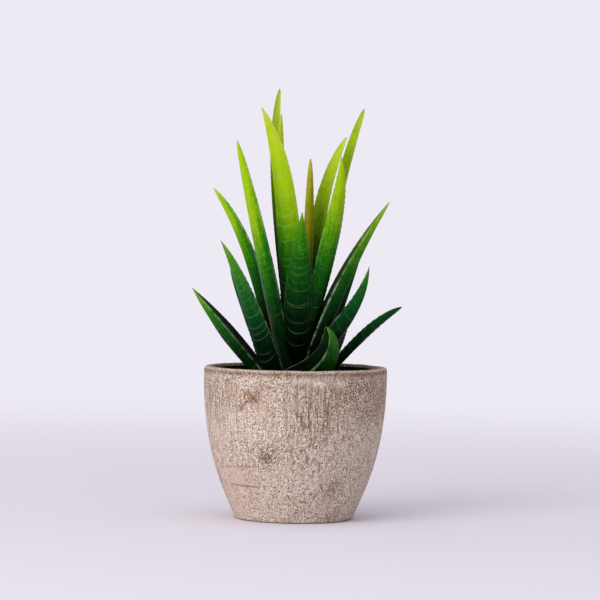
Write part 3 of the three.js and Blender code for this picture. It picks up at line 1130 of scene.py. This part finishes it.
@dataclass
class PulpPot:
    """The moulded pot: straight under the rim, curving in to a flat base."""

    rim_radius: float = 40.0
    band_height: float = 62.0
    height: float = 66.5
    taper: float = 14.6
    taper_power: float = 2.23
    wall: float = 5.0
    floor: float = 6.0
    rim_round: float = 1.2
    base_round: float = 1.5
    inset: float = 0.16
    columns: int = 512
    side_rows: int = 126
    inner_rows: int = 22
    crowded_grooves: int = 26
    stray_grooves: int = 190
    strewn_scratches: int = 130
    relief: PotRelief = PotRelief()
    tint: PotTint = PotTint()
    finish: PulpFinish = PulpFinish()

    RIM_BAND: ClassVar[float] = 64.7
    BROWN: ClassVar[tuple[Patch, ...]] = (
        Patch(-27, 55.2, 3.6, 2.6, 1.6), Patch(-36, 52, 3.5, 3, 0.25), Patch(29, 32.9, 3, 4, 0.35),
        Patch(30, 15, 5, 5, 0.9), Patch(40, 4, 4, 3, 0.6), Patch(60, 54, 13, 11, 1.1),
        Patch(40, 56, 12, 8, 0.8), Patch(-19.5, 30, 4.6, 3.4, 0.8),
        Patch(-14, 29.5, 2.2, 1.2, 0.5), Patch(-58, 57, 3, 3, 0.3),
        Patch(150, 50, 9, 6, 0.5), Patch(205, 30, 6, 8, 0.4), Patch(255, 56, 10, 5, 0.4),
        Patch(120, 20, 5, 4, 0.4), Patch(285, 18, 6, 5, 0.35),
    )
    OLIVE: ClassVar[tuple[Patch, ...]] = (
        Patch(-19.9, 29.9, 2.5, 2.6, 1.1), Patch(-18.8, 27.6, 2.2, 2.2, 0.9),
        Patch(172, 34, 2.2, 1.8, 0.7),
    )
    EVEN: ClassVar[tuple[Patch, ...]] = (
        Patch(-45, 19, 9, 5, 1.0), Patch(-62, 8, 9, 9, 0.7), Patch(100, 14, 12, 8, 0.7),
        Patch(225, 24, 12, 9, 0.8), Patch(300, 40, 8, 12, 0.5),
    )
    CHALK: ClassVar[tuple[Patch, ...]] = (
        Patch(14.5, 60.6, 2.4, 1.3, 1.0), Patch(6, 62, 4, 1.2, 0.5), Patch(28, 61, 3, 2, 0.5),
        Patch(-30, 61, 5, 1.5, 0.4), Patch(140, 60, 6, 2, 0.7), Patch(230, 61, 5, 2, 0.6),
    )
    COMBED: ClassVar[tuple[Patch, ...]] = (
        Patch(4, 46, 9, 19, 0.4), Patch(18, 48, 9, 18, 0.5), Patch(-52, 54, 8, 12, 0.4),
        Patch(120, 50, 16, 12, 0.5), Patch(210, 48, 18, 12, 0.5), Patch(285, 52, 12, 12, 0.45),
    )
    SCORES: ClassVar[tuple[Score, ...]] = (
        Score((-37.5, 49), (-29.6, 53.4), 0.22, 0.8), Score((-56, 16.1), (-27, 15.8), 0.32, 0.6),
        Score((-31.5, 57.4), (-23, 52.4), 0.3, 0.7), Score((-29.5, 52.6), (-22.5, 57), 0.3, 0.6),
        Score((-67, 22.9), (-49, 24.2), 0.25, 0.35), Score((-49, 24.2), (-26, 24.7), 0.22, 0.4),
        Score((25, 14.5), (33, 15.2), 0.22, 0.5), Score((12.8, 13.6), (14.4, 13.0), 0.45, 0.9),
        Score((32, 2.2), (34, 2.8), 0.4, 0.8), Score((-26, 29), (-22, 28.4), 0.25, 0.7),
        Score((8, 27), (8.4, 31), 0.25, 0.8), Score((110, 40), (128, 43), 0.22, 0.6),
        Score((190, 16), (214, 15.4), 0.2, 0.6), Score((262, 38), (270, 44), 0.22, 0.7),
    )

    def radius_at(self, height: Array) -> Array:
        """The outer radius: straight at the band, curving in by a power of the depth below."""
        below = np.maximum(0, self.band_height - height) / self.band_height
        return self.rim_radius - self.taper * below**self.taper_power

    def arc(self, centre: tuple[float, float], size: float, span: tuple[float, float],
            rows: int) -> Array:
        """A round corner as radius and height pairs, between two angles in degrees."""
        angle = np.radians(np.linspace(*span, rows))
        return np.stack([centre[0] + size * np.cos(angle), centre[1] + size * np.sin(angle)], -1)

    def profile(self) -> tuple[Array, Array, Array]:
        """From the middle of the underside up the side, over the rim and down to the floor.

        Returns:
            Radius and height pairs, how much of each is outer side, and how much is inside.
        """
        foot = float(self.radius_at(np.array(self.base_round)))
        top = self.height - self.rim_round
        heights = np.linspace(self.base_round, top, self.side_rows)
        side = np.stack([self.radius_at(heights), heights], -1)
        down = np.linspace(0, 1, self.inner_rows)[1:] ** 2
        inner_heights = top - (top - self.floor - 4) * down
        inner = np.stack([self.radius_at(inner_heights) - self.wall, inner_heights], -1)
        floor_edge = float(self.radius_at(np.array(self.floor))) - self.wall
        parts = [
            np.stack([np.linspace(2, foot - self.base_round - 1, 8), np.zeros(8)], -1),
            self.arc((foot - self.base_round, self.base_round), self.base_round, (-90, 0), 6)[:-1],
            side,
            self.arc((self.rim_radius - self.rim_round, top), self.rim_round, (0, 90), 8)[1:],
            self.arc((self.rim_radius - self.wall + self.rim_round, top), self.rim_round,
                     (90, 180), 8),
            inner,
            np.stack([np.linspace(floor_edge - 2, 3, 6), np.full(6, self.floor)], -1),
        ]
        counts = [len(part) for part in parts]
        outer = np.repeat([0, 0.5, 1, 0.5, 0, 0, 0], counts)
        inside = np.repeat([0, 0, 0, 0, 0.0, 1, 1], counts)
        return np.concatenate(parts), outer, inside

    def grooves(self, turn: Array, height: Array, radius: Array) -> Array:
        """Upright scratches left by the mould: bells across, faded at both ends.

        They crowd in one patch at the front, and are sparse and shallow all round.
        """
        chance = np.random.default_rng(77)
        total = np.zeros(np.broadcast_shapes(turn.shape, height.shape))
        crowd = [(1.4 * k - 7 + chance.normal(0, 0.3), chance.uniform(52, 64),
                  chance.uniform(8, 30), 0.26, chance.uniform(0.3, 0.7))
                 for k in range(self.crowded_grooves)]
        stray = [(chance.uniform(0, 360), chance.uniform(25, 64), chance.uniform(5, 30),
                  chance.uniform(0.12, 0.3), chance.uniform(0.1, 0.5))
                 for _ in range(self.stray_grooves)]
        for at, top, long, width, depth in crowd + stray:
            ends = smooth(top, top - 5, height) * smooth(top - long - 5, top - long, height)
            total += depth * bump(angle_from(at, turn) * radius, width) * ends
        return np.minimum(total, 1.4)

    def scratches(self) -> list[Score]:
        """Short dark fibres and scratches, strewn all round and lying in all directions."""
        chance = np.random.default_rng(91)
        strewn = []
        for _ in range(self.strewn_scratches):
            turn, height = chance.uniform(0, 360), chance.uniform(5, 61)
            slope, long = chance.uniform(0, math.pi), chance.uniform(0.8, 3.2)
            across = long * math.cos(slope) * math.degrees(1 / self.rim_radius)
            end = (turn + across, height + long * math.sin(slope))
            strewn.append(Score((turn, height), end, chance.uniform(0.1, 0.17),
                                chance.uniform(0.25, 0.75)))
        return strewn

    def surface(self, profile: Array, outer: Array, inside: Array) -> PotSurface:
        """Turns the profile about the axis and works out the marks on it.

        Args:
            profile: Radius and height pairs.
            outer: How much of each is outer side.
            inside: How much of each is inside.

        Returns:
            The smooth surface with its marks.
        """
        turn = np.linspace(0, 360, self.columns, endpoint=False)[None]
        radius, height = profile[:, :1], profile[:, 1:]
        circle = turned(radius, height, np.radians(turn))
        scores = (*self.SCORES, *self.scratches())
        groups = {"stain": self.BROWN, "olive": self.OLIVE, "even": self.EVEN,
                  "chalk": self.CHALK, "combed": self.COMBED}
        return PotSurface(
            circle=circle,
            height=height,
            side=outer[:, None],
            inside=inside[:, None],
            cut=self.grooves(turn, height, radius),
            lines=np.minimum(sum(score.mask(turn, height, radius) for score in scores), 1),
            rough=layered_noise(circle, 1.6, 3),
            pits=np.maximum(0, lattice_noise(circle, 1.2, 21) - self.relief.pit_threshold),
            masks={
                name: np.clip(sum(patch.mask(turn, height, radius) for patch in patches), 0, 1)
                for name, patches in groups.items()
            },
        )

    def on_rim(self, at: PotSurface) -> Array:
        """1 on top of the rim, fading to 0 a little below it, and 0 on the inner wall."""
        return smooth(self.height - 2.2, self.height - 0.4, at.height) * (1 - at.inside)

    def shell(self, at: PotSurface) -> Array:
        """The points, moved along their normals by the relief, with the rim's top worn."""
        depth, chalk = self.relief, at.masks["chalk"]
        calm = 1 - depth.calming * at.masks["even"]
        wide = layered_noise(at.circle, 14.0, 9, 2)
        relief = -depth.groove * at.cut - depth.line * at.lines
        relief = relief + depth.rough * at.rough * calm - depth.pit * at.pits * calm
        relief = relief + depth.wide * wide - depth.chalk * chalk * (at.rough > 0.1)
        limit = np.minimum(relief, self.inset - 0.01) * at.side
        limit = limit + depth.inner_rough * at.rough * at.inside
        moved = (limit - self.inset * (1 - at.inside))[..., None]
        shell = at.circle + outward(at.circle) * moved
        shell[..., 2] = np.clip(shell[..., 2], 0, self.height)
        wear = depth.rim_wear + depth.rim_waves * lattice_noise(at.circle, 5.0, 8)
        wear = wear + depth.rim_chips * lattice_noise(at.circle, 1.3, 4)
        shell[..., 2] -= self.on_rim(at) * np.maximum(wear, 0)
        return shell

    def values(self, at: PotSurface) -> dict[str, Array]:
        """The masks that the finish reads: the patches, and what edges and marks add to them."""
        tint, masks, side = self.tint, dict(at.masks), at.side
        on_rim = self.on_rim(at)
        # Darker along the bottom edge, in brown and in the dark of the scores.
        base_edge = smooth(1.6, 0.2, at.height) * side
        below_rim = smooth(66.8, 65.4, at.height) * at.inside
        inner_half = on_rim * (1 - np.minimum(1, 2 * side)) * (1 - at.inside)
        rim_edge = bump(at.height - self.height + 0.3, 0.35) * side
        # A dark band just under the rim's edge: painted shade.
        painted_rim_shade = bump(at.height - self.RIM_BAND, 1.0) * (0.75 + 0.4 * at.rough)
        stain = masks["stain"] + tint.base_edge_brown * base_edge + tint.inside_stain * at.inside
        # Browner on the rim's top and towards the top of the side.
        darker_near_top = tint.rim_top_brown * on_rim * (1 - side)
        darker_near_top = darker_near_top + tint.upper_side_brown * smooth(42, 62, at.height) * side
        masks["stain"] = np.clip(np.clip(stain, 0, 1) + darker_near_top, 0, 1)
        masks["chalk"] = np.clip(masks["chalk"] + tint.rim_chalk * rim_edge, 0, 1)
        marks = tint.groove * at.cut + tint.line * at.lines + tint.pit * at.pits
        marks = marks + tint.base_edge * base_edge + tint.painted_rim_shade * painted_rim_shade
        masks["score"] = np.clip(marks, 0, tint.darkest) * side
        # The inner wall and the rim's inner half go near black: partly soil stain, partly painted
        # shade.
        masks["soiled"] = np.clip(below_rim + tint.rim_soil_and_shade * inner_half, 0, 1)
        return {name: mask + 0 * at.cut for name, mask in masks.items()}

    def build(self) -> bpy.types.Object:
        """Makes the pot, with its relief and its stains."""
        surface = self.surface(*self.profile())
        poles = (np.array([0.0, 0.0, 0.0]), np.array([0.0, 0.0, self.floor]))
        skin = Skin.wrap(self.shell(surface), poles, self.values(surface))
        return seat(skin.make("pulp_pot", self.finish.material()), "pulp", "pot")


# ---- soil and stem ---------------------------------------------------------------------------


@dataclass
class SoilFill:
    """The dark soil, domed a little, with crumbs and dry fibres lying on it."""

    edge_radius: float = 34.85
    edge_height: float = 60.6
    crown_height: float = 62.0
    bottom_height: float = 6.3
    bottom_radius: float = 22.0
    columns: int = 288
    dome_rows: int = 84
    crumbs: int = 620
    fibres: int = 46
    side_rows: int = 12
    belly: float = 4.0
    roughness: float = 0.55
    fibre_points: int = 12
    fibre_sides: int = 5
    finish: SoilFinish = SoilFinish()
    straw: FibreFinish = FibreFinish("dry_straw", "b49a72", "6e5237")

    def level(self, radius: Array) -> Array:
        """The mean height of the surface: a quarter of a sine wave from the edge to the crown."""
        inwards = np.clip(1 - radius / self.edge_radius, 0, 1)
        rise = self.crown_height - self.edge_height
        return self.edge_height + rise * np.sin(inwards * math.pi / 2)

    def mound(self) -> Skin:
        """The soil's body: a turned profile, its top roughened by layered noise."""
        dome = np.linspace(self.edge_radius, 0.5, self.dome_rows)
        side = np.stack([
            np.linspace(self.bottom_radius, self.edge_radius - 0.1, self.side_rows),
            np.linspace(self.bottom_height + 3, self.edge_height - 2.5, self.side_rows),
        ], -1)
        side[:, 0] += self.belly * np.sin(np.linspace(0, math.pi, self.side_rows))
        bottom = np.array([[6.0, self.bottom_height], [self.bottom_radius - 4, self.bottom_height]])
        profile = np.concatenate([bottom, side, np.stack([dome, self.level(dome)], -1)])
        on_top = np.repeat([0.0, 1.0], [2 + self.side_rows, self.dome_rows])[:, None]
        rings = turned(profile[:, :1], profile[:, 1:], full_turn(self.columns))
        flat = rings * np.array([1, 1, 0])
        heave = self.roughness * layered_noise(flat, 4.5, 41, 4)
        rings[..., 2] += on_top * (heave + 0.25)
        top = np.array([0.0, 0.0, self.crown_height])
        return Skin.wrap(rings, (np.array([0.0, 0.0, self.bottom_height]), top), {})

    def crumb_field(self) -> Skin:
        """Small lumps on the surface: one eight-sided lump, squashed, turned and spread out."""
        chance = np.random.default_rng(12)
        tilt = np.radians([45, 90, 135])[:, None]
        turn = np.radians(np.arange(8) * 45)[None]
        lump = np.stack([np.sin(tilt) * np.cos(turn), np.sin(tilt) * np.sin(turn),
                         np.cos(tilt) + 0 * turn], -1)[::-1]
        one = Skin.wrap(lump, (np.array([0, 0, -1.0]), np.array([0, 0, 1.0])), {})
        inwards = chance.power(0.9, self.crumbs) ** 1.4
        radius = self.edge_radius - 1.2 - (self.edge_radius - 13) * inwards
        angle = chance.uniform(0, 2 * math.pi, self.crumbs)
        size = chance.uniform(0.35, 1.15, (self.crumbs, 1, 1))
        size = size * chance.uniform(0.6, 1.2, (self.crumbs, 1, 3))
        points = one.points[None] * size
        points = points * (1 + 0.22 * chance.normal(size=(self.crumbs, len(one.points), 1)))
        level = self.level(radius) + 0.2 + chance.uniform(0, 0.7, self.crumbs)
        points = points + turned(radius, level, angle)[:, None]
        offset = (np.arange(self.crumbs) * len(one.points))[:, None, None]
        return Skin(points.reshape(-1, 3), (one.quads[None] + offset).reshape(-1, 4),
                    (one.triangles[None] + offset).reshape(-1, 3))

    def fibre(self, chance: np.random.Generator) -> Skin:
        """One dry fibre: a thin few-sided tube along an arc that lies on the soil."""
        share = np.linspace(0, 1, self.fibre_points)
        radius = self.edge_radius - chance.uniform(2.5, 14)
        angle = chance.uniform(0, 2 * math.pi)
        heading, bend = chance.uniform(0, 2 * math.pi), chance.uniform(-1.6, 1.6)
        length, thick = chance.uniform(4, 12), chance.uniform(0.12, 0.26)
        way = heading + bend * share
        step = length / len(share)
        path = np.stack([np.cumsum(np.cos(way)), np.cumsum(np.sin(way))], -1) * step
        path = path - path.mean(axis=0) + radius * np.array([math.sin(angle), -math.cos(angle)])
        reach = np.linalg.norm(path, axis=-1)
        path = path * np.minimum(1, (self.edge_radius - 1.0) / reach)[:, None]
        lift = chance.uniform(0.7, 1.3) + chance.uniform(0, 1.8) * np.sin(share * math.pi) ** 2
        centre = np.concatenate([path, (self.level(np.minimum(reach, 33)) + lift)[:, None]], -1)
        along = np.gradient(centre, axis=0)
        along = along / np.linalg.norm(along, axis=-1, keepdims=True)
        side = np.cross(along, np.array([0, 0, 1.0]))
        up = np.cross(side, along)
        turn = np.radians(np.arange(self.fibre_sides) * (360 / self.fibre_sides))
        thin = (thick * (1 - 0.6 * np.abs(2 * share - 1) ** 3))[:, None, None]
        rings = centre[:, None] + thin * (
            np.cos(turn)[None, :, None] * up[:, None] + np.sin(turn)[None, :, None] * side[:, None])
        return Skin.wrap(rings[:, ::-1], (centre[0], centre[-1]), {})

    def build(self) -> None:
        """Makes the soil with its crumbs as one piece, and the fibres as another."""
        soil = Skin.merged([self.mound(), self.crumb_field()])
        seat(soil.make("potting_soil", self.finish.material()), "soil", "soil")
        chance = np.random.default_rng(5)
        fibres = Skin.merged([self.fibre(chance) for _ in range(self.fibres)])
        seat(fibres.make("soil_fibres", self.straw.material()), "soil")


@dataclass
class Stem:
    """The short stem that the leaves grow from, ringed by old leaf scars."""

    bottom: float = 34.0
    top: float = 58.5
    top_radius: float = 6.3
    bottom_radius: float = 2.5
    ridge_pitch: float = 2.0
    ridge_height: float = 0.12
    rows: int = 60
    columns: int = 48
    finish: FibreFinish = FibreFinish("stem_bark", "6b6a3a", "2c2a18")

    def build(self) -> bpy.types.Object:
        """Makes the stem: it widens upwards, with ring-shaped ridges at an even pitch."""
        height = np.linspace(self.bottom, self.top, self.rows)[:, None]
        share = (height - self.bottom) / (self.top - self.bottom)
        body = self.bottom_radius + (self.top_radius - self.bottom_radius) * share
        body = body * np.sqrt(np.clip((1 - share) * 6, 0.02, 1))
        wave = np.cos(2 * math.pi * height / self.ridge_pitch)
        radius = body - self.ridge_height + self.ridge_height * wave
        rings = turned(radius, height, full_turn(self.columns))
        rings = rings + outward(rings) * (0.15 * layered_noise(rings, 2.0, 6))[..., None]
        poles = (np.array([0, 0, self.bottom]), np.array([0, 0, self.top]))
        skin = Skin.wrap(rings, poles, {})
        return seat(skin.make("leaf_stem", self.finish.material()), "stem", "stem")


# ---- studio ----------------------------------------------------------------------------------


@dataclass(frozen=True)
class Softbox:
    """A square studio light. Azimuth is from the front to the left, seen from the camera."""

    name: str
    azimuth: float
    elevation: float
    distance: float
    size: float
    power: float
    tint: str

    def place(self, target: Vector) -> None:
        """Sets the light up so that it looks at the target."""
        turn, rise = math.radians(self.azimuth), math.radians(self.elevation)
        level = math.cos(rise)
        away = Vector((-math.sin(turn) * level, -math.cos(turn) * level, math.sin(rise)))
        lamp = bpy.data.lights.new(self.name, "AREA")
        lamp.shape, lamp.size, lamp.energy = "SQUARE", self.size, self.power
        lamp.color = paint(self.tint)[:3]
        light = bpy.data.objects.new(self.name, lamp)
        light.location = target + away * self.distance
        light.rotation_euler = (-away).to_track_quat("-Z", "Y").to_euler()
        bpy.context.scene.collection.objects.link(light)


@dataclass
class Studio:
    """A pale floor that fades into a pale surround, soft lights and the camera."""

    position: tuple[float, float, float] = (0.0, -1284.0, 133.0)
    target: tuple[float, float, float] = (1.5, 0.0, 95.3)
    lens: float = 176.7
    sensor: float = 36.0
    roll: float = 0.8
    floor_radius: float = 3.0
    floor_paper: str = "e2dee8"
    floor_fade: tuple[float, float] = (0.1, 0.85)
    surround: str = "eeeaf4"
    daylight: str = "f6f4fa"
    ambient: float = 0.64
    lit_height: float = 0.09
    lights: tuple[Softbox, ...] = (
        Softbox("key_softbox", 40, 25, 1.8, 1.3, 19.0, "fffaf4"),
        Softbox("top_softbox", 10, 80, 2.0, 1.8, 9.0, "ffffff"),
    )

    def set_camera(self) -> None:
        """Aims the camera from its position at the target, rolled a little to the left."""
        position, target = Vector(self.position) * MM, Vector(self.target) * MM
        forward = (target - position).normalized()
        right = forward.cross(Vector((0, 0, 1))).normalized()
        up = right.cross(forward)
        turn = math.radians(self.roll)
        level = right * math.cos(turn) + up * math.sin(turn)
        upright = up * math.cos(turn) - right * math.sin(turn)
        lens = bpy.data.cameras.new("camera")
        lens.lens, lens.sensor_width = self.lens, self.sensor
        lens.clip_start, lens.clip_end = 0.05, 30.0
        camera = bpy.data.objects.new("camera", lens)
        axes = Matrix((level, upright, -forward)).transposed().to_4x4()
        camera.matrix_world = Matrix.Translation(position) @ axes
        bpy.context.scene.collection.objects.link(camera)
        bpy.context.scene.camera = camera

    def floor_finish(self) -> bpy.types.Material:
        """Matt pale paper near the object that gives way to the surround further out."""
        material, bench, shader = blank_finish("studio_floor")
        shader.inputs["Base Color"].default_value = paint(self.floor_paper)
        shader.inputs["Roughness"].default_value = 0.9
        shader.inputs["Specular IOR Level"].default_value = 0.1
        reach = bench.add("ShaderNodeVectorMath", operation="LENGTH")
        bench.feed(reach.inputs[0], bench.position())
        clear = bench.add("ShaderNodeBsdfTransparent")
        mixed = bench.add("ShaderNodeMixShader")
        bench.feed(mixed.inputs[0], bench.window(reach.outputs["Value"], *self.floor_fade))
        bench.feed(mixed.inputs[1], shader.outputs["BSDF"])
        bench.feed(mixed.inputs[2], clear.outputs[0])
        way_out = next(n for n in bench.tree.nodes if n.type == "OUTPUT_MATERIAL")
        bench.feed(way_out.inputs["Surface"], mixed.outputs[0])
        return material

    def lay_floor(self) -> None:
        """Lays a round floor, flat at height 0."""
        turn = np.radians(np.linspace(0, 360, 128, endpoint=False))
        rim = np.stack([np.cos(turn), np.sin(turn), 0 * turn], -1) * self.floor_radius
        mesh = bpy.data.meshes.new("studio_floor")
        mesh.from_pydata(rim.tolist(), [], [list(range(len(turn)))])
        mesh.materials.append(self.floor_finish())
        floor = bpy.data.objects.new("studio_floor", mesh)
        bpy.context.scene.collection.objects.link(floor)

    def light_room(self) -> None:
        """Surrounds the scene with soft light, and lets the camera see it as pale paper."""
        world = bpy.data.worlds.new("pale_room")
        bpy.context.scene.world = world
        world.use_nodes = True
        world.node_tree.nodes.clear()
        bench = NodeBench(world.node_tree)
        seen, shed = bench.add("ShaderNodeBackground"), bench.add("ShaderNodeBackground")
        seen.inputs["Color"].default_value = paint(self.surround)
        shed.inputs["Color"].default_value = paint(self.daylight)
        shed.inputs["Strength"].default_value = self.ambient
        mixed = bench.add("ShaderNodeMixShader")
        bench.feed(mixed.inputs[0], bench.add("ShaderNodeLightPath").outputs["Is Camera Ray"])
        bench.feed(mixed.inputs[1], shed.outputs[0])
        bench.feed(mixed.inputs[2], seen.outputs[0])
        bench.feed(bench.add("ShaderNodeOutputWorld").inputs["Surface"], mixed.outputs[0])
        for light in self.lights:
            light.place(Vector((0, 0, self.lit_height)))

    def build(self) -> None:
        """Sets up the floor, the lights, the camera and plain colour handling."""
        self.lay_floor()
        self.light_room()
        self.set_camera()
        bpy.context.scene.view_settings.view_transform = "Standard"
        log.info("studio: floor, surround, %d lights and the camera", len(self.lights))


def main() -> None:
    """Builds the studio, then the pot, the soil, the stem and the leaves."""
    logging.basicConfig(level=logging.INFO, format="%(name)s: %(message)s")
    Studio().build()
    PulpPot().build()
    SoilFill().build()
    Stem().build()
    Rosette().build()


if __name__ == "__main__":
    main()
